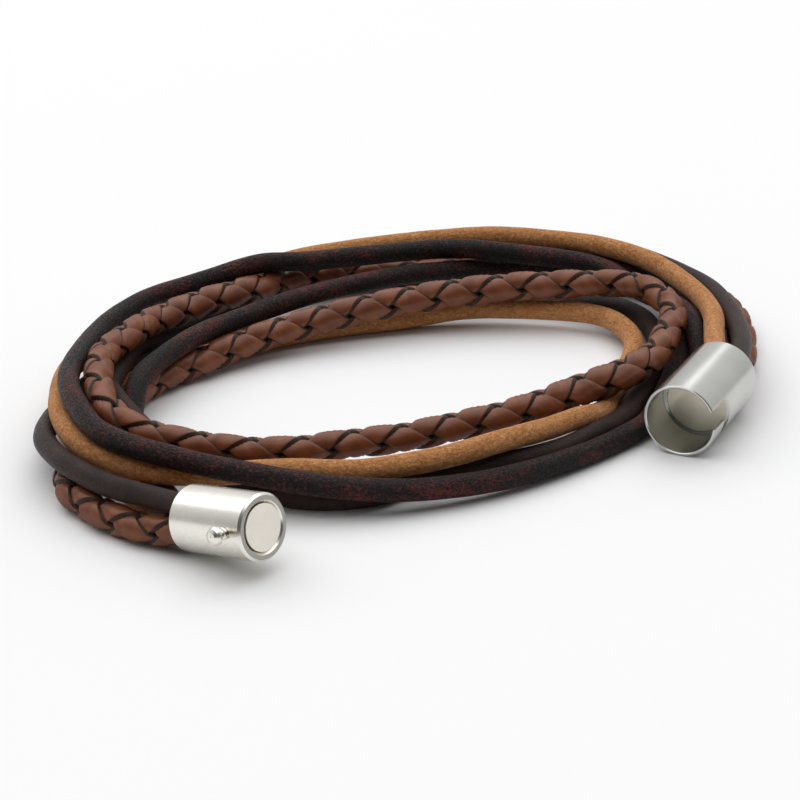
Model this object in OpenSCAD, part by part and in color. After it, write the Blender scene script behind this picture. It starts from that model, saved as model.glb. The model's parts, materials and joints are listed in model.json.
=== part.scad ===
// Leather wrap bracelet: one braided strand and three round leather cords, each laid
// twice round the wrist, their ends held in the two halves of a magnetic bayonet clasp.
// It lies open on a flat surface at z = 0. Sizes are in millimetres, +Z is up, the clasp
// is at the front, towards -Y, and the origin is below the middle of the whole bracelet.

/* [Strands] */
// Thickness of a round leather cord
cord_d = 3; // [2.8:0.1:3]
// Thickness of the braided strand, as a share of what its table gives
braid_share = 1; // [0.9:0.05:1]
// Sides of a round cord's outline
cord_sides = 8; // [8:2:12]
// Sides of the braided strand's outline
braid_sides = 12; // [8:2:12]
// Longest stretch between two rings of a strand
ring_step = 7.5; // [4:0.5:8]

/* [Plug half of the clasp] */
// Outer diameter of the plug
plug_d = 8.3; // [8.2:0.1:8.6]
// Length of the plug
plug_len = 11.8; // [11:0.1:13]
// Depth of the cup in its back, which the strands go into
plug_cup = 6; // [5.5:0.1:6.2]
// Diameter of the disc magnet in its face
plug_magnet_d = 5.8; // [5:0.1:6]
// Depth of the magnet's pocket
plug_pocket = 2; // [1.5:0.1:2.2]
// Distance of the bayonet pin from the face
pin_back = 2.4; // [2.2:0.1:3]

/* [Bayonet pin] */
// Diameter of the pin's neck
neck_d = 1.3; // [1:0.1:1.4]
// Diameter of the pin's domed head
head_d = 2.2; // [1.8:0.1:2.3]
// How far the pin stands out of the plug
pin_out = 2.3; // [2:0.1:2.6]
// Thickness of the domed head
head_t = 0.9; // [0.7:0.1:1]

/* [Socket half of the clasp] */
// Outer diameter of the socket
socket_d = 9.8; // [9.6:0.1:10]
// Length of the socket
socket_len = 16; // [15.5:0.1:18]
// Wall of the socket
socket_wall = 0.4; // [0.3:0.1:0.5]
// Depth of the socket down to its magnet
socket_depth = 6.8; // [6.5:0.1:7]
// Depth of the cup in its back, which the strands go into
socket_cup = 5.5; // [5:0.1:5.6]
// Thickness of the disc magnet on its bottom
socket_magnet_t = 2; // [1.5:0.1:2.2]
// Width of the slot's way in, which the pin's head passes
slot_w = 2.5; // [2.4:0.1:2.7]
// Width of the slot's crosswise leg, which holds the pin's neck
leg_w = 1.7; // [1.7:0.1:1.9]
// Angle over which the crosswise leg runs round the socket
leg_angle = 50; // [30:5:70]

/* [Hidden] */
$fn = 64;

// The wall of the plug's cup, and the clearance round each piece set in another
plug_wall = 0.35;
seat_gap = 0.05;
// How much wider the plug's pocket is than its magnet on each side, and how much narrower
// the socket's pocket and its cup are than its mouth
magnet_step = 0.1;
socket_step = 0.25;
// How deep the bayonet pin's shank sits in the plug
pin_shank = 1;
// Small edge breaks on the rims
bevel = 0.3;
rim = 0.1;
// How much thinner a cord is where it is pressed into the plug's cup and the socket's cup
plug_squeeze = 0.1;
socket_squeeze = 0.05;

// Where each half lies: the middle of its back, the way its mouth or face points in the
// XY plane, and how steeply it rises
plug_at = [-26.9, -40, 4.11];
plug_heading = -40;
plug_rise = 10.5;
socket_mouth = [34.3, -18.8, 4.9];
socket_heading = -117.5;
// The pin leans up by this much, and the slot's way in lies this far above the side
pin_lean = 9;
slot_lean = 10;

// Each strand's route, from the plug's cup to the socket's cup, in two turns. A row is
// [x, y, z] of the strand's middle. The braided strand adds [half thickness].
BRAIDED = [
    [-24, -44.5, 4.1, 1.7], [-28, -41.5, 3.2, 1.7], [-31.5, -39.5, 2.2, 1.85], [-37, -35.4, 2, 2],
    [-41, -30.8, 2, 2], [-44.1, -25.7, 2, 1.9], [-43.8, -18.5, 1.9, 1.9], [-42.8, -13.5, 1.9, 1.9],
    [-41.6, -8.5, 1.9, 1.9], [-39.9, -3.5, 1.9, 1.9], [-38.6, 0.5, 2, 1.95], [-36.8, 4.5, 2.2, 2],
    [-33.7, 8.5, 2.3, 2.05], [-29.5, 12, 2.5, 2.1], [-22.5, 17, 3.4, 2.1], [-15.5, 20.5, 4.1, 2.1],
    [-8.5, 23, 4.8, 2.15], [-1, 25, 5.4, 2.15], [6.5, 26.5, 5.8, 2.15], [13.5, 27, 6.2, 2.15],
    [21, 26.5, 6.6, 2.1], [28, 25.5, 7, 2], [33.5, 24, 7.1, 1.95], [36.5, 19, 6.9, 1.95],
    [37.5, 13.5, 6.5, 1.95], [35.5, 7, 6.2, 2], [33.5, 1, 5.9, 2.1], [28, -5, 5.5, 2.25],
    [23, -7.5, 5, 2.25], [18, -10.5, 4.4, 2.2], [11.5, -14, 4.2, 2.05], [5, -16.5, 4.1, 2],
    [-1.5, -19, 4, 1.95], [-8, -20.5, 4.2, 1.95], [-14.5, -22, 4.2, 1.9], [-21, -22.5, 4.6, 1.85],
    [-27, -22, 5.4, 1.85], [-33.5, -20.5, 6.4, 1.9],
    // second turn
    [-37.5, -18.5, 7.7, 1.9], [-39.5, -16, 8.7, 1.95], [-41, -10, 9, 1.95], [-41.6, -2.5, 8.8, 1.95],
    [-41.2, 3.5, 8.3, 1.95], [-38.5, 9.5, 8.1, 2], [-37.5, 13.5, 7.6, 2], [-36.5, 17, 6.8, 2],
    [-32.5, 23, 6.1, 2.1], [-28.5, 27, 5.9, 2.15], [-23, 32, 5.3, 2.15], [-21, 35, 4.5, 2.15],
    [-19, 38, 4.4, 2.15], [-13, 41, 3.9, 2.15], [-6.5, 43.5, 3.3, 2.1], [0.5, 44.5, 2.3, 2],
    [10, 45.5, 2, 2], [19.5, 44.5, 2, 2], [29, 42.5, 2, 2], [38.5, 39.5, 2, 2],
    [44.5, 32.5, 2, 2], [47, 25.5, 2.1, 2], [47.5, 19, 2.2, 2], [47, 11.5, 2.1, 2],
    [45.7, 5, 2, 1.95], [44.3, -0.2, 2.4, 1.9], [43.2, -5.4, 3.2, 1.75], [41.1, -9.9, 3.35, 1.75],
];
TAN = [
    [-22.5, -41.5, 6.3], [-26, -38.5, 5.4], [-29.3, -36.2, 4.3], [-31.8, -33.4, 3.2], [-35, -29.2, 1.7],
    [-37, -23.5, 2.1], [-39, -18, 3.6], [-40.5, -12, 5.4], [-42.6, -9.5, 5.4], [-44, -6, 4.4],
    [-43.2, -1, 2.4], [-40.7, 5, 1.5], [-36.5, 10.5, 1.5], [-31.5, 15, 1.5], [-24.5, 19.5, 1.5],
    [-16.5, 23.5, 1.5],
    [-8.5, 26, 1.5], [-1, 27.5, 1.5], [6.5, 28.5, 2.3], [11, 28.5, 2.5], [16.5, 27.5, 2.6],
    [22.5, 26, 2.7], [28, 23.5, 2.8], [31, 19, 2.6], [32, 13, 2.2], [29.5, 4.5, 1.5],
    [27, -3, 1.5], [26, -7, 1.5], [24, -10.5, 2.4], [21.5, -13.5, 3.5], [18, -17, 3.8],
    [11, -22.5, 4.7], [4.5, -26, 4.5], [-2, -28.5, 4.6], [-8, -29, 4.2], [-14.5, -28.5, 4.6],
    [-19.5, -28.5, 4.5], [-24, -28.5, 4.3], [-29.5, -28.5, 4.5], [-33, -28, 4.7],
    // second turn
    [-39.5, -24.5, 5.3], [-43, -21, 6], [-45.5, -15, 6.5], [-46.5, -8.5, 6.4], [-47, -0.5, 5.8],
    [-46.5, 7.5, 4.7], [-44, 16, 2.7], [-42, 21.5, 2.2], [-39, 29, 2.4], [-34, 36.5, 2.7],
    [-28, 40.5, 3.1], [-22.5, 43.5, 4], [-16, 46, 4.9], [-10, 47.5, 5.2], [-2, 49, 5.5],
    [11.5, 48.5, 6.5], [21, 46, 6.6], [29.5, 41, 7], [36.5, 34.5, 6.7], [41, 25.5, 6.1],
    [42.5, 20, 6], [43, 13.5, 6.3], [42.2, 7, 6.5], [40.7, -4.4, 7.5], [38.7, -8.9, 7.6],
];
ANTIQUE = [
    [-22, -42, 3.4], [-25.5, -39.5, 2.6], [-28, -36, 1.8], [-29.5, -32, 1.5], [-32, -26.5, 1.5],
    [-34.4, -21, 1.5], [-36.4, -16, 1.5], [-37.8, -10.5, 1.7], [-37.3, -7.2, 2.7], [-37.1, -2.2, 5.3],
    [-36.3, 1.5, 5.6], [-33.3, 7.5, 5.9], [-29.5, 13.5, 6.1], [-25.5, 18.5, 5.7], [-20, 24, 5.5],
    [-12.5, 30, 5.4], [-1, 36.5, 5], [6.5, 39.5, 4.4], [14.5, 41, 4.1], [23.5, 41, 4.5],
    [29.5, 39.5, 4.2], [35, 36.5, 3.4], [40.5, 27.5, 2], [39.5, 18, 1.5], [38.5, 12, 1.5],
    [36.5, 5, 1.5], [34, -3.5, 1.5], [32, -9.5, 1.5], [30, -13, 1.5], [24, -19, 1.5],
    [17, -24.5, 1.9], [10.5, -28.5, 2.2], [4, -31, 2.6], [-2, -32.5, 3.1], [-8, -33, 3.9],
    [-14, -32.5, 4.6], [-20.5, -31.5, 5.7], [-26.5, -30.5, 6.7], [-30, -29.5, 7.4],
    [-33, -28.5, 7.8],
    // second turn
    [-39.5, -24, 8.5], [-42.5, -18, 9.1], [-44.5, -12, 9.3], [-45.4, -4, 8.8], [-44.2, 10, 7.3],
    [-42, 19, 6.7], [-37.5, 27, 6.6], [-30.5, 32, 6.8], [-23, 35.5, 7.9], [-19.5, 36, 8.2],
    [-15.5, 37, 7.6], [-0.5, 41, 7.1], [7.5, 41, 7.4], [14.5, 39.5, 7.1], [28.5, 36.5, 5.6],
    [34.5, 30, 3.7], [38.5, 23, 4.4], [39.5, 19.5, 4.7], [40.5, 15, 4.5], [40.5, 8, 3.1],
    [40.2, 0.8, 2.4], [40.1, -3.8, 3.1], [38, -8.4, 3.1],
];
DARK = [
    [-24.5, -43.5, 7], [-28, -40.5, 6.2], [-31, -38, 5.8], [-34.5, -35.5, 5.6],
    [-38.5, -32.5, 5.5], [-42, -28.5, 5.5], [-44.5, -25, 5.4], [-47.5, -18, 4.8], [-48, -12, 4],
    [-47.5, -5, 3], [-46.7, 0.5, 2], [-45, 7, 1.5], [-41.2, 12.1, 1.5], [-35.5, 16, 1.5],
    [-29.5, 20.5, 1.5], [-23.5, 24, 1.5], [-16, 27, 1.5], [-7, 30, 1.5], [0.5, 31.5, 1.5],
    [10.5, 32.5, 1.5], [20, 31.5, 1.5], [29, 29, 2.3], [34, 22.5, 2.6], [35, 18.5, 2.2],
    [35.5, 13.5, 1.5], [34, 8, 1.5], [32, 0.5, 1.5], [29.5, -6, 1.5], [28, -10.5, 1.7],
    [24.5, -14, 1.7], [19, -19, 1.5], [11, -22.5, 1.5], [4.5, -24.5, 1.5], [0, -27, 1.5],
    [-4.5, -30, 1.5], [-10.5, -31, 1.5], [-15.5, -30, 1.5], [-19.5, -27.5, 1.5],
    [-24.5, -24.5, 1.6], [-28.5, -21, 2.2], [-32, -17.5, 3.5],
    // second turn
    [-35.2, -14.2, 4.4], [-38.6, -8.5, 5.7], [-40.6, -3, 5.3], [-40.6, 1, 4.9], [-40.2, 5.5, 4.6],
    [-39, 12, 4.5], [-39, 14.9, 4.3], [-37.5, 17.5, 3.4], [-34, 22.5, 2.3], [-31, 27.5, 1.7],
    [-25.5, 34.5, 1.5], [-20, 40.5, 1.5], [-12.5, 44.5, 1.5], [-4, 47.5, 1.5], [6, 49, 1.5],
    [15.5, 49, 2.3], [25, 46.5, 4.2], [31.5, 43, 5.6], [37.5, 38, 5.2], [41.5, 33, 4.8],
    [43.5, 29, 4.9], [45, 23.5, 5.2], [46, 13.5, 5.4], [45.5, 3.5, 6.1], [43.3, -5.9, 6.5],
    [41.2, -10.4, 6.5],
];

// The place part of a row, without its thickness
function xyz(row) = [row[0], row[1], row[2]];

// A cord's rows with their half thickness, a little less where the ends are pressed in
function cord_rows(route) = [
    for (i = [0:len(route) - 1])
        concat(route[i], cord_d/2 - (i < 3 ? plug_squeeze : i > len(route) - 3 ? socket_squeeze : 0))
];
function braid_rows(route) = [for (row = route) concat(xyz(row), row[3]*braid_share)];

// A row between b and c on the smooth curve through a, b, c and d, at t from 0 to 1
function between(a, b, c, d, t) =
    0.5*(2*b + (c - a)*t + (2*a - 5*b + 4*c - d)*t*t + (3*b - a - 3*c + d)*t*t*t);

// No row's underside is below the surface that the bracelet lies on
function lifted(row) = [row[0], row[1], max(row[2], row[3]), row[3]];

// The rows at which a strand has its rings
function rings(rows) =
    let (n = len(rows),
         p = concat([2*rows[0] - rows[1]], rows, [2*rows[n - 1] - rows[n - 2]]))
    [
        for (i = [1:n - 1], steps = ceil(norm(xyz(p[i + 1] - p[i]))/ring_step), k = [0:steps - 1])
            lifted(between(p[i - 1], p[i], p[i + 1], p[i + 2], k/steps)),
        lifted(rows[n - 1])
    ];

// The corners of ring i, square to the strand, the first one straight below its middle
function ring(rows, i, sides) =
    let (along = xyz(rows[min(i + 1, len(rows) - 1)] - rows[max(i - 1, 0)]),
         side = cross(along, [0, 0, 1])/norm(cross(along, [0, 0, 1])),
         up = cross(side, along)/norm(along))
    [for (k = [0:sides - 1]) xyz(rows[i]) + rows[i][3]*(sin(360*k/sides)*side - cos(360*k/sides)*up)];

// A solid strand along its rows
module strand(rows, sides) {
    r = rings(rows);
    n = len(r);
    skin = [
        for (i = [0:n - 2], k = [0:sides - 1])
            let (a = i*sides + k, b = i*sides + (k + 1) % sides)
            each [[a, b, a + sides], [b, b + sides, a + sides]]
    ];
    first_end = [[for (k = [sides - 1:-1:0]) k]];
    last_end = [[for (k = [0:sides - 1]) (n - 1)*sides + k]];
    polyhedron([for (i = [0:n - 1]) each ring(r, i, sides)], concat(skin, first_end, last_end));
}

// The plug's own frame: its back at z = 0, its face up, and -X on its upper side
module at_plug() {
    translate(plug_at) rotate([0, 90 - plug_rise, plug_heading]) children();
}

// The socket's own frame: its back at z = 0, its mouth up, and -X on its upper side
module at_socket() {
    translate(socket_mouth) rotate([0, 90, socket_heading]) translate([0, 0, -socket_len]) children();
}

// The bayonet pin's own frame: at the plug's surface, pointing out of it
module at_pin() {
    at_plug() translate([0, 0, plug_len - pin_back]) rotate([0, 0, -90 - pin_lean])
        translate([plug_d/2, 0, 0]) rotate([0, 90, 0]) children();
}

module braided_strand() {
    color([0.42, 0.25, 0.18]) strand(braid_rows(BRAIDED), braid_sides);
}

module tan_strand() {
    color([0.78, 0.55, 0.35]) strand(cord_rows(TAN), cord_sides);
}

module antique_strand() {
    color([0.2, 0.13, 0.11]) strand(cord_rows(ANTIQUE), cord_sides);
}

module dark_strand() {
    color([0.3, 0.24, 0.23]) strand(cord_rows(DARK), cord_sides);
}

// A bevelled tube, closed between the cup in its back and the pocket in its face, with a
// blind hole that the bayonet pin is pressed into
module plug_sleeve() {
    r = plug_d/2;
    pocket_r = plug_magnet_d/2 + magnet_step;
    color([0.84, 0.83, 0.8]) difference() {
        at_plug() rotate_extrude() polygon([
            [r - plug_wall, 0], [r - rim, 0], [r, rim], [r, plug_len - bevel], [r - bevel, plug_len],
            [pocket_r + bevel, plug_len], [pocket_r, plug_len - bevel],
            [pocket_r, plug_len - plug_pocket], [0, plug_len - plug_pocket], [0, plug_cup],
            [r - plug_wall, plug_cup]
        ]);
        at_pin() translate([0, 0, -pin_shank]) cylinder(r = neck_d/2 + seat_gap, h = pin_shank + 1);
    }
}

module plug_magnet() {
    color([0.8, 0.79, 0.76]) at_plug()
        translate([0, 0, plug_len - plug_pocket + seat_gap])
            cylinder(r = plug_magnet_d/2, h = plug_pocket - 2*seat_gap);
}

// A turned pin: a shank in the plug, a neck with a collar, and a domed head
module bayonet_pin() {
    neck = neck_d/2;
    head = head_d/2;
    neck_end = pin_out - head_t;
    collar = 0.3;
    color([0.86, 0.85, 0.82]) at_pin() rotate_extrude() polygon([
        [0, seat_gap - pin_shank], [neck, seat_gap - pin_shank], [neck, 0.2], [neck + 0.15, 0.3],
        [neck + 0.15, 0.3 + collar], [neck, 0.4 + collar], [neck, neck_end], [head, neck_end],
        [head, neck_end + 0.3*head_t], [0.85*head, neck_end + 0.65*head_t],
        [0.5*head, neck_end + 0.92*head_t], [0, pin_out]
    ]);
}

// A thin tube with a closed wall between the cup in its back and the deep mouth. The cup
// and the magnet's pocket are a little narrower than the mouth, and a bent slot for the
// bayonet pin cuts the rim.
module socket_sleeve() {
    r = socket_d/2;
    bore_r = r - socket_wall;
    inner_r = bore_r - socket_step;
    floor_z = socket_len - socket_depth - socket_magnet_t - seat_gap;
    leg_z = socket_len - socket_depth + pin_back;
    cut_in = bore_r*cos(leg_angle) - 0.5;
    color([0.7, 0.71, 0.7]) at_socket() difference() {
        rotate_extrude() polygon([
            [inner_r, 0], [r - rim, 0], [r, rim], [r, socket_len - rim], [r - rim, socket_len],
            [bore_r + rim, socket_len], [bore_r, socket_len - rim],
            [bore_r, socket_len - socket_depth], [inner_r, socket_len - socket_depth],
            [inner_r, floor_z], [0, floor_z], [0, socket_cup], [inner_r, socket_cup]
        ]);
        rotate([0, 0, slot_lean]) translate([0, r + 1, 0]) rotate([90, 0, 0])
            linear_extrude(r + 1 - cut_in) polygon([
                [-slot_w/2, leg_z - leg_w/2], [r*sin(leg_angle), leg_z - leg_w/2],
                [r*sin(leg_angle), leg_z + leg_w/2], [slot_w/2, leg_z + leg_w/2],
                [slot_w/2, socket_len + 1], [-slot_w/2, socket_len + 1]
            ]);
    }
}

module socket_magnet() {
    color([0.8, 0.78, 0.74]) at_socket()
        translate([0, 0, socket_len - socket_depth - socket_magnet_t])
            cylinder(r = socket_d/2 - socket_wall - socket_step - seat_gap, h = socket_magnet_t);
}

braided_strand();
tan_strand();
antique_strand();
dark_strand();
plug_sleeve();
plug_magnet();
bayonet_pin();
socket_sleeve();
socket_magnet();
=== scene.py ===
"""The looks of the leather wrap bracelet: its four strands as real cord and braid, the finish
of its magnetic bayonet clasp, and the white studio that it is shown in. The strands are worked
out in millimetres, and mesh_object() makes them metres in the CAD frame: +Z up, the clasp at
the front towards -Y, the bracelet lying on z = 0. The studio is in metres."""

import json
import math

import bpy
import numpy as np
from mathutils import Matrix, Vector


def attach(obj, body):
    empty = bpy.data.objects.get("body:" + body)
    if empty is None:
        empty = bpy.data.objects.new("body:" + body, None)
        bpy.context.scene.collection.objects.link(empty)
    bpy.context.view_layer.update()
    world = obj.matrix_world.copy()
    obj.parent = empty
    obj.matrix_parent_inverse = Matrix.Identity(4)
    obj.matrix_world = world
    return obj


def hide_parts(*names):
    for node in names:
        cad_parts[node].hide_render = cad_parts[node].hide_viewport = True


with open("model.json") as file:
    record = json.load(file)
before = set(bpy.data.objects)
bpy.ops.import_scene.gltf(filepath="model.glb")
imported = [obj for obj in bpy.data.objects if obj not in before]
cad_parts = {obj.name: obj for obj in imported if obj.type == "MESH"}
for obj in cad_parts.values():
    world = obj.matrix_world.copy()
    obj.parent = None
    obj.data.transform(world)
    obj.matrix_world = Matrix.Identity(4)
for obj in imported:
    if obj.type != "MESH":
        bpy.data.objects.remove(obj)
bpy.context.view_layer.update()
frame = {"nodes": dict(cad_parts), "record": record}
# The way that the plug's face looks
PLUG_AXIS = next(m["axis"] for m in frame["record"]["mounts"] if m["name"] == "plug_face")

MM = 0.001

# The photograph's camera: where it stands and what it looks at, in millimetres, how far the
# picture is turned, and its focal length as a share of the picture's width, both in pixels.
CAMERA_AT = (-1.5, -297.6, 133.4)
CAMERA_AIM = (-1.5, 2.0, 0.0)
CAMERA_ROLL = math.radians(-2.0)
FOCAL_SHARE = 2387 / 800
SENSOR = 36.0

# The room's light, whose strength is the product of two shares. One goes from low down to
# overhead, between these heights of a unit vector, and one from the camera's side to the far
# side, between these values of its Y.
SKY_HEIGHTS = (0.05, 0.9)
LOW_TO_OVERHEAD = (0.6, 1.0)
SKY_DEPTHS = (-0.7, 0.4)
FRONT_TO_BACK = (0.12, 1.05)
# The soft panel over the bracelet, and the floor's side
PANEL_AT = (-0.1, 0.25, 1.1)
PANEL_SIDE = 2.2
PANEL_POWER = 15.0
FLOOR_SIDE = 6

# The strands' routes, as in the CAD: the middle of the strand and, for the braid, its half
# thickness. Each goes from the plug's cup to the socket's in two turns.
BRAIDED = [
    (-24, -44.5, 4.1, 1.7), (-28, -41.5, 3.2, 1.7), (-31.5, -39.5, 2.2, 1.85), (-37, -35.4, 2, 2),
    (-41, -30.8, 2, 2), (-44.1, -25.7, 2, 1.9), (-43.8, -18.5, 1.9, 1.9), (-42.8, -13.5, 1.9, 1.9),
    (-41.6, -8.5, 1.9, 1.9), (-39.9, -3.5, 1.9, 1.9), (-38.6, 0.5, 2, 1.95), (-36.8, 4.5, 2.2, 2),
    (-33.7, 8.5, 2.3, 2.05), (-29.5, 12, 2.5, 2.1), (-22.5, 17, 3.4, 2.1), (-15.5, 20.5, 4.1, 2.1),
    (-8.5, 23, 4.8, 2.15), (-1, 25, 5.4, 2.15), (6.5, 26.5, 5.8, 2.15), (13.5, 27, 6.2, 2.15),
    (21, 26.5, 6.6, 2.1), (28, 25.5, 7, 2), (33.5, 24, 7.1, 1.95), (36.5, 19, 6.9, 1.95),
    (37.5, 13.5, 6.5, 1.95), (35.5, 7, 6.2, 2), (33.5, 1, 5.9, 2.1), (28, -5, 5.5, 2.25),
    (23, -7.5, 5, 2.25), (18, -10.5, 4.4, 2.2), (11.5, -14, 4.2, 2.05), (5, -16.5, 4.1, 2),
    (-1.5, -19, 4, 1.95), (-8, -20.5, 4.2, 1.95), (-14.5, -22, 4.2, 1.9), (-21, -22.5, 4.6, 1.85),
    (-27, -22, 5.4, 1.85), (-33.5, -20.5, 6.4, 1.9),
    # second turn
    (-37.5, -18.5, 7.7, 1.9), (-39.5, -16, 8.7, 1.95), (-41, -10, 9, 1.95), (-41.6, -2.5, 8.8, 1.95),
    (-41.2, 3.5, 8.3, 1.95), (-38.5, 9.5, 8.1, 2), (-37.5, 13.5, 7.6, 2), (-36.5, 17, 6.8, 2),
    (-32.5, 23, 6.1, 2.1), (-28.5, 27, 5.9, 2.15), (-23, 32, 5.3, 2.15), (-21, 35, 4.5, 2.15),
    (-19, 38, 4.4, 2.15), (-13, 41, 3.9, 2.15), (-6.5, 43.5, 3.3, 2.1), (0.5, 44.5, 2.3, 2),
    (10, 45.5, 2, 2), (19.5, 44.5, 2, 2), (29, 42.5, 2, 2), (38.5, 39.5, 2, 2),
    (44.5, 32.5, 2, 2), (47, 25.5, 2.1, 2), (47.5, 19, 2.2, 2), (47, 11.5, 2.1, 2),
    (45.7, 5, 2, 1.95), (44.3, -0.2, 2.4, 1.9), (43.2, -5.4, 3.2, 1.75), (41.1, -9.9, 3.35, 1.75),
]
TAN = [
    (-22.5, -41.5, 6.3), (-26, -38.5, 5.4), (-29.3, -36.2, 4.3), (-31.8, -33.4, 3.2), (-35, -29.2, 1.7),
    (-37, -23.5, 2.1), (-39, -18, 3.6), (-40.5, -12, 5.4), (-42.6, -9.5, 5.4), (-44, -6, 4.4),
    (-43.2, -1, 2.4), (-40.7, 5, 1.5), (-36.5, 10.5, 1.5), (-31.5, 15, 1.5), (-24.5, 19.5, 1.5),
    (-16.5, 23.5, 1.5),
    (-8.5, 26, 1.5), (-1, 27.5, 1.5), (6.5, 28.5, 2.3), (11, 28.5, 2.5), (16.5, 27.5, 2.6),
    (22.5, 26, 2.7), (28, 23.5, 2.8), (31, 19, 2.6), (32, 13, 2.2), (29.5, 4.5, 1.5),
    (27, -3, 1.5), (26, -7, 1.5), (24, -10.5, 2.4), (21.5, -13.5, 3.5), (18, -17, 3.8),
    (11, -22.5, 4.7), (4.5, -26, 4.5), (-2, -28.5, 4.6), (-8, -29, 4.2), (-14.5, -28.5, 4.6),
    (-19.5, -28.5, 4.5), (-24, -28.5, 4.3), (-29.5, -28.5, 4.5), (-33, -28, 4.7),
    # second turn
    (-39.5, -24.5, 5.3), (-43, -21, 6), (-45.5, -15, 6.5), (-46.5, -8.5, 6.4), (-47, -0.5, 5.8),
    (-46.5, 7.5, 4.7), (-44, 16, 2.7), (-42, 21.5, 2.2), (-39, 29, 2.4), (-34, 36.5, 2.7),
    (-28, 40.5, 3.1), (-22.5, 43.5, 4), (-16, 46, 4.9), (-10, 47.5, 5.2), (-2, 49, 5.5),
    (11.5, 48.5, 6.5), (21, 46, 6.6), (29.5, 41, 7), (36.5, 34.5, 6.7), (41, 25.5, 6.1),
    (42.5, 20, 6), (43, 13.5, 6.3), (42.2, 7, 6.5), (40.7, -4.4, 7.5), (38.7, -8.9, 7.6),
]
ANTIQUE = [
    (-22, -42, 3.4), (-25.5, -39.5, 2.6), (-28, -36, 1.8), (-29.5, -32, 1.5), (-32, -26.5, 1.5),
    (-34.4, -21, 1.5), (-36.4, -16, 1.5), (-37.8, -10.5, 1.7), (-37.3, -7.2, 2.7), (-37.1, -2.2, 5.3),
    (-36.3, 1.5, 5.6), (-33.3, 7.5, 5.9), (-29.5, 13.5, 6.1), (-25.5, 18.5, 5.7), (-20, 24, 5.5),
    (-12.5, 30, 5.4), (-1, 36.5, 5), (6.5, 39.5, 4.4), (14.5, 41, 4.1), (23.5, 41, 4.5),
    (29.5, 39.5, 4.2), (35, 36.5, 3.4), (40.5, 27.5, 2), (39.5, 18, 1.5), (38.5, 12, 1.5),
    (36.5, 5, 1.5), (34, -3.5, 1.5), (32, -9.5, 1.5), (30, -13, 1.5), (24, -19, 1.5),
    (17, -24.5, 1.9), (10.5, -28.5, 2.2), (4, -31, 2.6), (-2, -32.5, 3.1), (-8, -33, 3.9),
    (-14, -32.5, 4.6), (-20.5, -31.5, 5.7), (-26.5, -30.5, 6.7), (-30, -29.5, 7.4),
    (-33, -28.5, 7.8),
    # second turn
    (-39.5, -24, 8.5), (-42.5, -18, 9.1), (-44.5, -12, 9.3), (-45.4, -4, 8.8), (-44.2, 10, 7.3),
    (-42, 19, 6.7), (-37.5, 27, 6.6), (-30.5, 32, 6.8), (-23, 35.5, 7.9), (-19.5, 36, 8.2),
    (-15.5, 37, 7.6), (-0.5, 41, 7.1), (7.5, 41, 7.4), (14.5, 39.5, 7.1), (28.5, 36.5, 5.6),
    (34.5, 30, 3.7), (38.5, 23, 4.4), (39.5, 19.5, 4.7), (40.5, 15, 4.5), (40.5, 8, 3.1),
    (40.2, 0.8, 2.4), (40.1, -3.8, 3.1), (38, -8.4, 3.1),
]
DARK = [
    (-24.5, -43.5, 7), (-28, -40.5, 6.2), (-31, -38, 5.8), (-34.5, -35.5, 5.6),
    (-38.5, -32.5, 5.5), (-42, -28.5, 5.5), (-44.5, -25, 5.4), (-47.5, -18, 4.8), (-48, -12, 4),
    (-47.5, -5, 3), (-46.7, 0.5, 2), (-45, 7, 1.5), (-41.2, 12.1, 1.5), (-35.5, 16, 1.5),
    (-29.5, 20.5, 1.5), (-23.5, 24, 1.5), (-16, 27, 1.5), (-7, 30, 1.5), (0.5, 31.5, 1.5),
    (10.5, 32.5, 1.5), (20, 31.5, 1.5), (29, 29, 2.3), (34, 22.5, 2.6), (35, 18.5, 2.2),
    (35.5, 13.5, 1.5), (34, 8, 1.5), (32, 0.5, 1.5), (29.5, -6, 1.5), (28, -10.5, 1.7),
    (24.5, -14, 1.7), (19, -19, 1.5), (11, -22.5, 1.5), (4.5, -24.5, 1.5), (0, -27, 1.5),
    (-4.5, -30, 1.5), (-10.5, -31, 1.5), (-15.5, -30, 1.5), (-19.5, -27.5, 1.5),
    (-24.5, -24.5, 1.6), (-28.5, -21, 2.2), (-32, -17.5, 3.5),
    # second turn
    (-35.2, -14.2, 4.4), (-38.6, -8.5, 5.7), (-40.6, -3, 5.3), (-40.6, 1, 4.9), (-40.2, 5.5, 4.6),
    (-39, 12, 4.5), (-39, 14.9, 4.3), (-37.5, 17.5, 3.4), (-34, 22.5, 2.3), (-31, 27.5, 1.7),
    (-25.5, 34.5, 1.5), (-20, 40.5, 1.5), (-12.5, 44.5, 1.5), (-4, 47.5, 1.5), (6, 49, 1.5),
    (15.5, 49, 2.3), (25, 46.5, 4.2), (31.5, 43, 5.6), (37.5, 38, 5.2), (41.5, 33, 4.8),
    (43.5, 29, 4.9), (45, 23.5, 5.2), (46, 13.5, 5.4), (45.5, 3.5, 6.1), (43.3, -5.9, 6.5),
    (41.2, -10.4, 6.5),
]

# Points on the curve between two rows before it is divided evenly, and the length over which
# its small corners are eased
CURVE_POINTS = 24
ROUTE_EASE = 1.3

# A round cord's half thickness, and how much less it is where the clasp's cups hold it: in the
# first rows and the last ones.
CORD_R = 1.5
PLUG_SQUEEZE = (3, 0.1)
SOCKET_SQUEEZE = (2, 0.05)
CORD_SIDES = 28
CORD_STEP = 0.9
# Its mean thickness as a share of the full one, and how far its thickness and its roundness
# wander, as shares too, with the lengths of their waves
CORD_MEAN = 0.985
THICKNESS_WANDER = (0.018, (17, 9.1, 5.3))
OVAL_WANDER = (0.02, (23, 13.7))
# The rings over which its curvature is eased, for the wrinkles in its bends
BEND_EASE = 3

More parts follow.
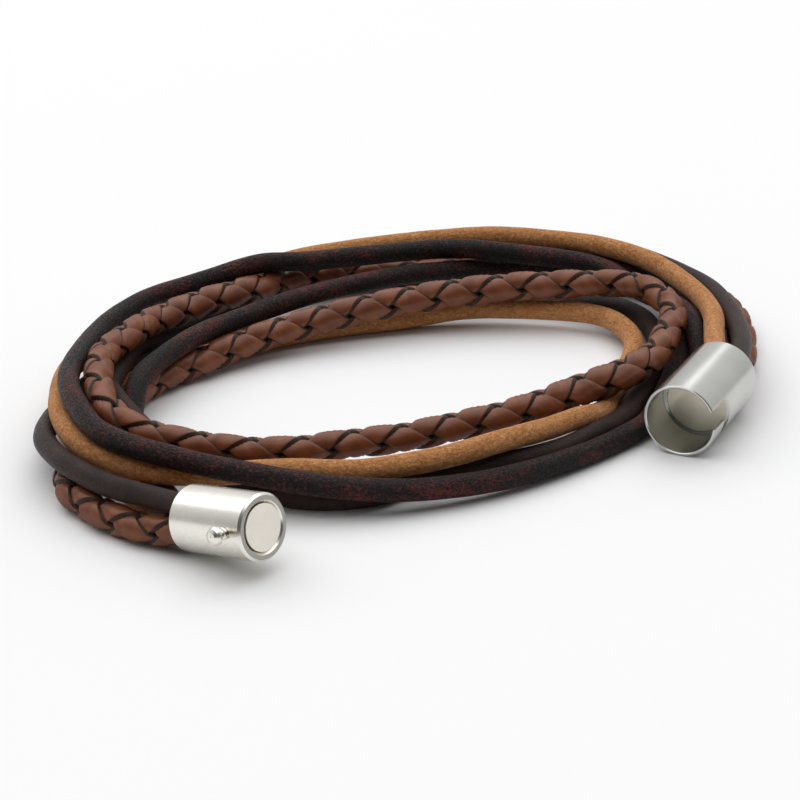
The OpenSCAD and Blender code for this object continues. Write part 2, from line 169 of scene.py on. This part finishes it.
# The four-ply braid: two straps wind one way and two the other. LEAD is the length of one turn
# of a strap, LEAD_SHIFT the angle at which the turns start, and STRAP_HALF_ANGLE the angle that
# half a strap's width takes up. PLUMP makes up for the hollows between the straps. WEAVE_DEPTH
# is how far a strap rises and sinks on its way over and under, as a share of the braid's half
# thickness, and WEAVE_SNAP how suddenly it does.
LEAD = 13.1
LEAD_SHIFT = -1.0
RINGS_PER_LEAD = 28
STRAP_HALF_ANGLE = 0.48 * math.pi
PLUMP = 1.04
WEAVE_DEPTH = 0.17
WEAVE_SNAP = 1.8
# Across half a strap, for the straps of either hand: the place as a share of its half width,
# the depth below its crown as a share of the braid's half thickness, and whether that is the
# dark cut edge, which is broad on the straps of one hand. Its near-black colour is the edge's
# dye with painted shade from between the straps, and its extra breadth on that hand is painted
# shade too. STRAP_UNDERSIDE is that depth for the middle of the underside.
STRAP_PROFILE = {
    1: [(0.0, 0.0, 0), (0.3, 0.006, 0), (0.5, 0.018, 0), (0.62, 0.03, 0),
        (0.68, 0.045, 0), (0.71, 0.07, 1), (0.84, 0.16, 1), (0.97, 0.3, 1)],
    -1: [(0.0, 0.0, 0), (0.32, 0.006, 0), (0.56, 0.02, 0), (0.72, 0.038, 0),
         (0.79, 0.06, 0), (0.82, 0.09, 1), (0.9, 0.18, 1), (0.97, 0.32, 1)],
}
STRAP_UNDERSIDE = 0.5
# Half a strap's width as its leather's grain has it, in millimetres, and how far the grain is
# shifted along the strand for each radian of a strap's start and for its hand, so that no two
# straps match
STRAP_HALF_WIDTH = 3
GRAIN_PER_RADIAN = 31
GRAIN_PER_HAND = 77

# How much darker the duller patches of a metal are, out of 255
METAL_PATCH = 7


def strand_rows(route):
    """The rows with their half thickness in the fourth column."""
    rows = np.array(route, float)
    if rows.shape[1] == 4:
        return rows
    half = np.full(len(rows), CORD_R)
    half[: PLUG_SQUEEZE[0]] -= PLUG_SQUEEZE[1]
    half[-SOCKET_SQUEEZE[0]:] -= SOCKET_SQUEEZE[1]
    return np.column_stack([rows, half])


def smooth_path(rows, step):
    """The CAD's smooth curve through the rows, its corners eased, as a point about every step,
    and the distance along the strand at each point."""
    p = np.vstack([2 * rows[0] - rows[1], rows, 2 * rows[-1] - rows[-2]])
    t = np.linspace(0, 1, CURVE_POINTS, endpoint=False)[:, None]
    pieces = []
    for a, b, c, d in zip(p[:-3], p[1:-2], p[2:-1], p[3:]):
        pieces.append(0.5 * (2 * b + (c - a) * t + (2 * a - 5 * b + 4 * c - d) * t**2
                             + (3 * b - a - 3 * c + d) * t**3))
    fine = np.vstack(pieces + [rows[-1:]])
    fine[:, 2] = np.maximum(fine[:, 2], fine[:, 3])
    for _ in range(2):
        gone = np.r_[0, np.cumsum(np.linalg.norm(np.diff(fine[:, :3], axis=0), axis=1))]
        count = int(round(gone[-1] / step)) + 1
        even = np.linspace(0, gone[-1], count)
        fine = np.column_stack([np.interp(even, gone, fine[:, k]) for k in range(4)])
        fine = eased(fine, ROUTE_EASE / step)
    return fine, even


def eased(values, reach):
    """The rows blurred along the strand by reach rows, with both ends kept."""
    n = int(3 * reach) + 1
    weights = np.exp(-0.5 * (np.arange(-n, n + 1) / reach) ** 2)
    weights /= weights.sum()
    before = 2 * values[0] - values[n:0:-1]
    after = 2 * values[-1] - values[-2:-n - 2:-1]
    padded = np.vstack([before, values, after])
    columns = [np.convolve(column, weights, "valid") for column in padded.T]
    return np.column_stack(columns)


def axes_along(path):
    """Unit vectors to the side of the path and up from it, at each point, and its curvature."""
    along = np.gradient(path[:, :3], axis=0)
    length = np.linalg.norm(along, axis=1, keepdims=True)
    along /= length
    side = np.cross(along, (0, 0, 1))
    side /= np.linalg.norm(side, axis=1, keepdims=True)
    up = np.cross(side, along)
    bend = np.linalg.norm(np.gradient(along, axis=0), axis=1) / length[:, 0]
    return side, up, bend


def placed(path, side, up, angle, radius):
    """Points round the path at these angles and radii, both with a row per path point."""
    return (path[:, None, :3] + radius[..., None] * (np.cos(angle)[..., None] * side[:, None]
                                                     + np.sin(angle)[..., None] * up[:, None]))


def mesh_object(name, points, fields, lean=1):
    """A closed skin over rings of points, flat at both ends, with a float or vector per point.
    lean is 1 or -1 for the diagonal along which its four-sided faces bend."""
    rings, around = points.shape[:2]
    i, k = np.meshgrid(np.arange(rings - 1), np.arange(around), indexing="ij")
    here, there = i * around + k, i * around + (k + 1) % around
    corners = [here, here + around, there + around, there]
    if lean == -1:
        corners = corners[1:] + corners[:1]
    quads = np.stack(corners, -1).reshape(-1, 4)
    caps = [list(range(around)), list(range(rings * around - 1, (rings - 1) * around - 1, -1))]
    mesh = bpy.data.meshes.new(name)
    mesh.from_pydata((points.reshape(-1, 3) * MM).tolist(), [], quads.tolist() + caps)
    for field, values in fields.items():
        vector = values.ndim == 3
        attribute = mesh.attributes.new(field, "FLOAT_VECTOR" if vector else "FLOAT", "POINT")
        attribute.data.foreach_set("vector" if vector else "value", values.astype("f4").ravel())
    mesh.shade_smooth()
    piece = bpy.data.objects.new(name, mesh)
    bpy.context.collection.objects.link(piece)
    return piece


def waves(s, spans, seed):
    """A gentle uneven line along the strand, between about -1 and 1."""
    start = np.random.default_rng(seed).uniform(0, 2 * math.pi, len(spans))
    return sum(np.sin(2 * math.pi * s / span + a) for span, a in zip(spans, start)) / len(spans)


def round_cord(name, route, seed):
    """A round leather cord, a little uneven as cut and rolled leather is."""
    path, s = smooth_path(strand_rows(route), CORD_STEP)
    side, up, bend = axes_along(path)
    round_once = np.linspace(0, 2 * math.pi, CORD_SIDES, endpoint=False)
    angle = np.tile(round_once, (len(s), 1))
    uneven = THICKNESS_WANDER[0] * waves(s, THICKNESS_WANDER[1], seed)
    oval = OVAL_WANDER[0] * waves(s, OVAL_WANDER[1], seed + 1)
    radius = path[:, 3:4] * (CORD_MEAN + uneven[:, None] + oval[:, None] * np.cos(2 * angle))
    along = np.repeat(s[:, None], CORD_SIDES, 1)
    lay = np.stack([along, radius * np.cos(angle), radius * np.sin(angle)], -1)
    fields = {"lay": lay, "bend": np.repeat(eased(bend[:, None], BEND_EASE), CORD_SIDES, 1)}
    return mesh_object(name, placed(path, side, up, angle, radius), fields)


def braid_strap(path, s, side, up, hand, start):
    """One strap's points and fields: hand is 1 or -1 for the way that it winds, and start is
    the angle from the top at which it begins."""
    profile = STRAP_PROFILE[hand]
    outline = [(-u, d, c) for u, d, c in profile[:0:-1]] + profile + [(0.0, STRAP_UNDERSIDE, 1)]
    across, depth, cut_edge_and_shade = np.array(outline, float).T
    turn = 2 * math.pi * s[:, None] / LEAD + LEAD_SHIFT
    angle = hand * turn + start + across * STRAP_HALF_ANGLE
    # Both straps of one hand are over at the same places, twice a turn, and the others under
    swing = np.cos(2 * hand * turn + across * STRAP_HALF_ANGLE)
    over = WEAVE_DEPTH * hand * np.tanh(WEAVE_SNAP * swing) / math.tanh(WEAVE_SNAP)
    radius = PLUMP * path[:, 3:4] * (1 - WEAVE_DEPTH + over - depth)
    along = s[:, None] + GRAIN_PER_RADIAN * start + GRAIN_PER_HAND * hand
    lay = np.stack(np.broadcast_arrays(along, STRAP_HALF_WIDTH * across, radius), -1)
    # The mark for the dark cut edge, whose colour holds painted shade from between the straps
    fields = {"lay": lay, "cut_edge_and_shade": np.broadcast_to(cut_edge_and_shade, radius.shape)}
    return placed(path, side, up, angle + math.pi / 2, radius), fields


def braid(name, route):
    """The braided strand: four flat straps that pass over and under each other."""
    path, s = smooth_path(strand_rows(route), LEAD / RINGS_PER_LEAD)
    side, up, _ = axes_along(path)
    straps = [
        mesh_object(name, *braid_strap(path, s, side, up, hand, start), lean=hand)
        for hand in (1, -1) for start in (0.0, math.pi)
    ]
    return joined(name, straps)


def joined(name, pieces):
    """The pieces as one object."""
    with bpy.context.temp_override(active_object=pieces[0], selected_editable_objects=pieces):
        bpy.ops.object.join()
    pieces[0].name = pieces[0].data.name = name
    return pieces[0]


class Shader:
    """A material under construction: short names for its nodes and links."""

    def __init__(self, name):
        self.material = bpy.data.materials.new(name)
        self.material.use_nodes = True
        self.tree = self.material.node_tree
        self.surface = self.tree.nodes["Principled BSDF"]

    @classmethod
    def on(cls, world):
        """The same short names for a world's nodes."""
        world.use_nodes = True
        made = cls.__new__(cls)
        made.tree = world.node_tree
        return made

    def node(self, kind, **settings):
        """A new node with these settings."""
        made = self.tree.nodes.new(kind)
        for key, value in settings.items():
            setattr(made, key, value)
        return made

    def feed(self, target, value):
        """Sets an input, or links an output to it."""
        if isinstance(value, bpy.types.NodeSocket):
            self.tree.links.new(value, target)
        else:
            target.default_value = value

    def set(self, **values):
        """Sets the surface's inputs by name, with _ for a space."""
        for key, value in values.items():
            self.feed(self.surface.inputs[key.replace("_", " ")], value)

    def attribute(self, field, output):
        """A field of the mesh, from its output called Vector or Fac."""
        return self.node("ShaderNodeAttribute", attribute_name=field).outputs[output]

    def noise(self, place, scale, detail=3.0, roughness=0.55, distortion=0.0):
        """Noise at a place that is first stretched by scale, which has a number per axis. For a
        strand's lay that is along it and twice across, per millimetre."""
        mapping = self.node("ShaderNodeMapping")
        self.feed(mapping.inputs["Vector"], place)
        mapping.inputs["Scale"].default_value = scale
        made = self.node("ShaderNodeTexNoise")
        self.feed(made.inputs["Vector"], mapping.outputs["Vector"])
        settings = {"Scale": 1.0, "Detail": detail, "Roughness": roughness, "Distortion": distortion}
        for key, value in settings.items():
            made.inputs[key].default_value = value
        return made.outputs["Fac"]

    def ramp(self, fac, *stops):
        """A colour ramp: each stop is its place and an sRGB colour from 0 to 255."""
        made = self.node("ShaderNodeValToRGB")
        self.feed(made.inputs["Fac"], fac)
        elements = made.color_ramp.elements
        while len(elements) < len(stops):
            elements.new(0.5)
        for element, (place, colour) in zip(elements, stops):
            element.position = place
            element.color = linear(colour)
        return made.outputs["Color"]

    def span(self, fac, low, high, to_low=0.0, to_high=1.0):
        """The range from low to high carried over to the one from to_low to to_high."""
        made = self.node("ShaderNodeMapRange")
        self.feed(made.inputs["Value"], fac)
        settings = {"From Min": low, "From Max": high, "To Min": to_low, "To Max": to_high}
        for key, value in settings.items():
            made.inputs[key].default_value = value
        return made.outputs["Result"]

    def maths(self, operation, a, b):
        """Two values added, multiplied and so on."""
        made = self.node("ShaderNodeMath", operation=operation)
        self.feed(made.inputs[0], a)
        self.feed(made.inputs[1], b)
        return made.outputs["Value"]

    def mix(self, fac, a, b):
        """The colour between a and b."""
        made = self.node("ShaderNodeMix", data_type="RGBA")
        self.feed(made.inputs["Factor"], fac)
        self.feed(made.inputs["A"], a)
        self.feed(made.inputs["B"], b)
        return made.outputs["Result"]

    def bump(self, height, distance, strength, normal=None):
        """A bump, distance millimetres high where height is 1, on top of another if given."""
        made = self.node("ShaderNodeBump")
        self.feed(made.inputs["Height"], height)
        self.feed(made.inputs["Strength"], strength)
        made.inputs["Distance"].default_value = distance * MM
        if normal is not None:
            self.feed(made.inputs["Normal"], normal)
        return made.outputs["Normal"]


def linear(colour):
    """An sRGB colour from 0 to 255 as linear red, green, blue and alpha."""
    parts = [c / 255 for c in colour]
    return tuple(p / 12.92 if p < 0.04045 else ((p + 0.055) / 1.055) ** 2.4 for p in parts) + (1.0,)


def tan_leather():
    """Undyed split leather: matte, with a fine fibrous nap and a slow mottle."""
    m = Shader("tan_leather")
    lay = m.attribute("lay", "Vector")
    slow = m.noise(lay, (0.35, 0.9, 0.9))
    fibres = m.noise(lay, (1.9, 2.8, 2.8), detail=5.0, roughness=0.72, distortion=0.8)
    body = m.ramp(slow, (0.32, (164, 106, 60)), (0.5, (184, 125, 76)), (0.68, (202, 146, 96)))
    specks = m.ramp(fibres, (0.32, (112, 66, 32)), (0.48, (176, 118, 70)), (0.68, (236, 184, 130)))
    m.set(Base_Color=m.mix(0.6, body, specks), Roughness=0.95, Specular_IOR_Level=0.1,
          Sheen_Weight=0.1, Sheen_Roughness=0.5, Normal=m.bump(fibres, 0.22, 1.0))
    return m.material


def antique_leather():
    """Red-brown leather rubbed with black, finely wrinkled, whose grain takes a broken shine."""
    m = Shader("antique_leather")
    lay = m.attribute("lay", "Vector")
    rubbed = m.noise(lay, (2.2, 3.4, 3.4), detail=6.0, roughness=0.75, distortion=0.5)
    slow = m.noise(lay, (0.14, 0.4, 0.4), detail=2.0)
    wrinkles = m.noise(lay, (3.4, 1.1, 1.1), roughness=0.6, distortion=0.5)
    grain = m.noise(lay, (3.2, 4.6, 4.6), detail=4.0, roughness=0.7, distortion=0.4)
    shows = m.maths("ADD", rubbed, m.span(slow, 0.3, 0.7, -0.07, 0.08))
    colour = m.ramp(shows, (0.45, (9, 6, 5)), (0.53, (24, 12, 10)), (0.6, (96, 38, 33)))
    normal = m.bump(wrinkles, 0.2, 0.8, m.bump(grain, 0.3, 1.0))
    m.set(Base_Color=colour, Roughness=m.span(grain, 0.4, 0.62, 0.75, 0.3),
          Specular_IOR_Level=0.26, Normal=normal)
    return m.material


def dark_leather():
    """Grey-brown leather with a satin finish, wrinkled across where it bends."""
    m = Shader("dark_leather")
    lay = m.attribute("lay", "Vector")
    slow = m.noise(lay, (0.3, 0.7, 0.7))
    wrinkles = m.noise(lay, (4.5, 1.2, 1.2), detail=4.0, roughness=0.62, distortion=0.4)
    pores = m.noise(lay, (4.4, 3.4, 3.4), detail=4.0, roughness=0.7, distortion=0.4)
    colour = m.ramp(slow, (0.35, (33, 19, 16)), (0.6, (50, 32, 27)))
    strength = m.span(m.attribute("bend", "Fac"), 0.01, 0.09, 0.2, 0.95)
    normal = m.bump(wrinkles, 0.16, strength, m.bump(pores, 0.2, 1.0))
    m.set(Base_Color=colour, Roughness=m.span(pores, 0.4, 0.65, 0.58, 0.34),
          Specular_IOR_Level=0.22, Normal=normal)
    return m.material


def braided_leather():
    """Smooth brown straps with dark cut edges: their own dye, made near black with painted shade from
    between the straps.
    """
    m = Shader("braided_leather")
    lay = m.attribute("lay", "Vector")
    slow = m.noise(lay, (0.4, 0.4, 0.4), detail=2.0)
    grain = m.noise(lay, (5.0, 5.0, 5.0), detail=4.0, roughness=0.6)
    fibres = m.noise(lay, (2.5, 2.5, 2.5), detail=4.0, roughness=0.65)
    face = m.ramp(slow, (0.3, (102, 54, 30)), (0.5, (116, 63, 36)), (0.7, (130, 75, 45)))
    # The cut edges' colour: their dye, darkened to near black with painted shade from between the
    # straps
    edge_dye_and_shade = m.ramp(fibres, (0.35, (26, 17, 11)), (0.7, (66, 44, 28)))
    ragged = m.maths("ADD", m.attribute("cut_edge_and_shade", "Fac"), m.span(grain, 0.3, 0.7, -0.2, 0.2))
    cut_edge_and_shade = m.span(ragged, 0.3, 0.6)
    m.set(Base_Color=m.mix(cut_edge_and_shade, face, edge_dye_and_shade), Roughness=m.span(cut_edge_and_shade, 0, 1, 0.38, 0.6),
          Specular_IOR_Level=0.37, Normal=m.bump(grain, 0.03, 0.5))
    return m.material


def metal(name, colour, roughness, wander, end=None, painted_face_reflection=None):
    """Metal whose roughness wanders a little. What looks the way of end, a unit vector, is given a
    darker colour, a painted reflection: it stands in for the dim room low down that such a face
    mirrors. Scales are per metre."""
    m = Shader(name)
    place = m.node("ShaderNodeTexCoord")
    fine = m.noise(place.outputs["Object"], (900.0, 900.0, 900.0), detail=2.0, roughness=0.5)
    slow = m.noise(place.outputs["Object"], (140.0, 140.0, 140.0), detail=2.0)
    duller = [c - METAL_PATCH for c in colour]
    body = m.mix(m.span(slow, 0.3, 0.7), linear(colour), linear(duller))
    if end is not None:
        facing = m.node("ShaderNodeVectorMath", operation="DOT_PRODUCT")
        m.feed(facing.inputs[0], place.outputs["Normal"])
        facing.inputs[1].default_value = end
        # Painted reflection: the face that looks along end is made darker, for the dim room that it
        # mirrors
        body = m.mix(m.span(facing.outputs["Value"], 0.94, 0.99), body, linear(painted_face_reflection))
    m.set(Base_Color=body, Metallic=1.0,
          Roughness=m.span(fine, 0.3, 0.7, roughness - wander, roughness + wander),
          Normal=m.bump(slow, 0.002, 0.2))
    return m.material


def dress(node, material):
    """Gives a CAD node its finish."""
    piece = frame["nodes"][node]
    piece.data.materials.clear()
    piece.data.materials.append(material)


def stands_for(piece, node, material):
    """Makes a strand's piece ride, replace its CAD solid and take this material."""
    piece.data.materials.clear()
    piece.data.materials.append(material)
    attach(piece, "root")
    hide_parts(node)


def strands():
    """The four strands, each in place of its CAD solid."""
    stands_for(braid("braided_cord", BRAIDED), "braided_strand", braided_leather())
    stands_for(round_cord("tan_cord", TAN, seed=3), "tan_strand", tan_leather())
    stands_for(round_cord("antique_cord", ANTIQUE, seed=7), "antique_strand", antique_leather())
    stands_for(round_cord("dark_cord", DARK, seed=11), "dark_strand", dark_leather())


def clasp():
    """The finish of the clasp's five pieces, which keep their CAD solids."""
    # The plug's face gets a painted reflection: the darker grey of the dim room that it mirrors
    plug_metal = metal("plug_metal", (240, 237, 228), 0.26, 0.02, PLUG_AXIS, (158, 156, 150))
    dress("plug_sleeve", plug_metal)
    dress("bayonet_pin", plug_metal)
    dress("socket_sleeve", metal("socket_metal", (198, 198, 194), 0.2, 0.02))
    dress("plug_magnet", metal("plug_magnet_metal", (238, 232, 222), 0.38, 0.03))
    dress("socket_magnet", metal("socket_magnet_metal", (253, 246, 226), 0.5, 0.03))


def camera():
    """The photograph's camera."""
    at, aim = Vector(CAMERA_AT) * MM, Vector(CAMERA_AIM) * MM
    ahead = (aim - at).normalized()
    right = ahead.cross(Vector((0, 0, 1))).normalized()
    up = right.cross(ahead)
    c, s = math.cos(CAMERA_ROLL), math.sin(CAMERA_ROLL)
    x, y = c * right + s * up, c * up - s * right
    lens = bpy.data.cameras.new("camera")
    lens.sensor_width = SENSOR
    lens.lens = SENSOR * FOCAL_SHARE
    lens.clip_start, lens.clip_end = 0.01, 20
    eye = bpy.data.objects.new("camera", lens)
    eye.matrix_world = Matrix.Translation(at) @ Matrix((x, y, -ahead)).transposed().to_4x4()
    bpy.context.collection.objects.link(eye)
    bpy.context.scene.camera = eye


def panel_light():
    """A wide soft panel overhead, turned towards the bracelet."""
    light = bpy.data.lights.new("overhead", "AREA")
    light.shape = "SQUARE"
    light.size = PANEL_SIDE
    light.energy = PANEL_POWER
    lamp = bpy.data.objects.new("overhead", light)
    lamp.location = PANEL_AT
    lamp.rotation_euler = (-Vector(PANEL_AT)).to_track_quat("-Z", "Y").to_euler()
    bpy.context.collection.objects.link(lamp)


def surround():
    """The room's light: bright overhead, dimmer low down, and dimmest on the camera's side."""
    world = bpy.context.scene.world or bpy.data.worlds.new("studio")
    bpy.context.scene.world = world
    m = Shader.on(world)
    way = m.node("ShaderNodeSeparateXYZ")
    m.feed(way.inputs["Vector"], m.node("ShaderNodeTexCoord").outputs["Generated"])
    height = m.span(way.outputs["Z"], *SKY_HEIGHTS, *LOW_TO_OVERHEAD)
    behind = m.span(way.outputs["Y"], *SKY_DEPTHS, *FRONT_TO_BACK)
    sky = m.tree.nodes["Background"]
    sky.inputs["Color"].default_value = (1, 1, 1, 1)
    m.feed(sky.inputs["Strength"], m.maths("MULTIPLY", height, behind))


def studio():
    """A white floor, the room's light and the soft panel."""
    bpy.ops.mesh.primitive_plane_add(size=FLOOR_SIDE)
    floor = bpy.context.object
    floor.name = "studio_floor"
    m = Shader("studio_floor")
    m.set(Base_Color=(0.88, 0.88, 0.885, 1), Roughness=0.8, Specular_IOR_Level=0.1)
    floor.data.materials.append(m.material)
    surround()
    panel_light()
    bpy.context.scene.view_settings.view_transform = "Standard"


camera()
strands()
clasp()
studio()
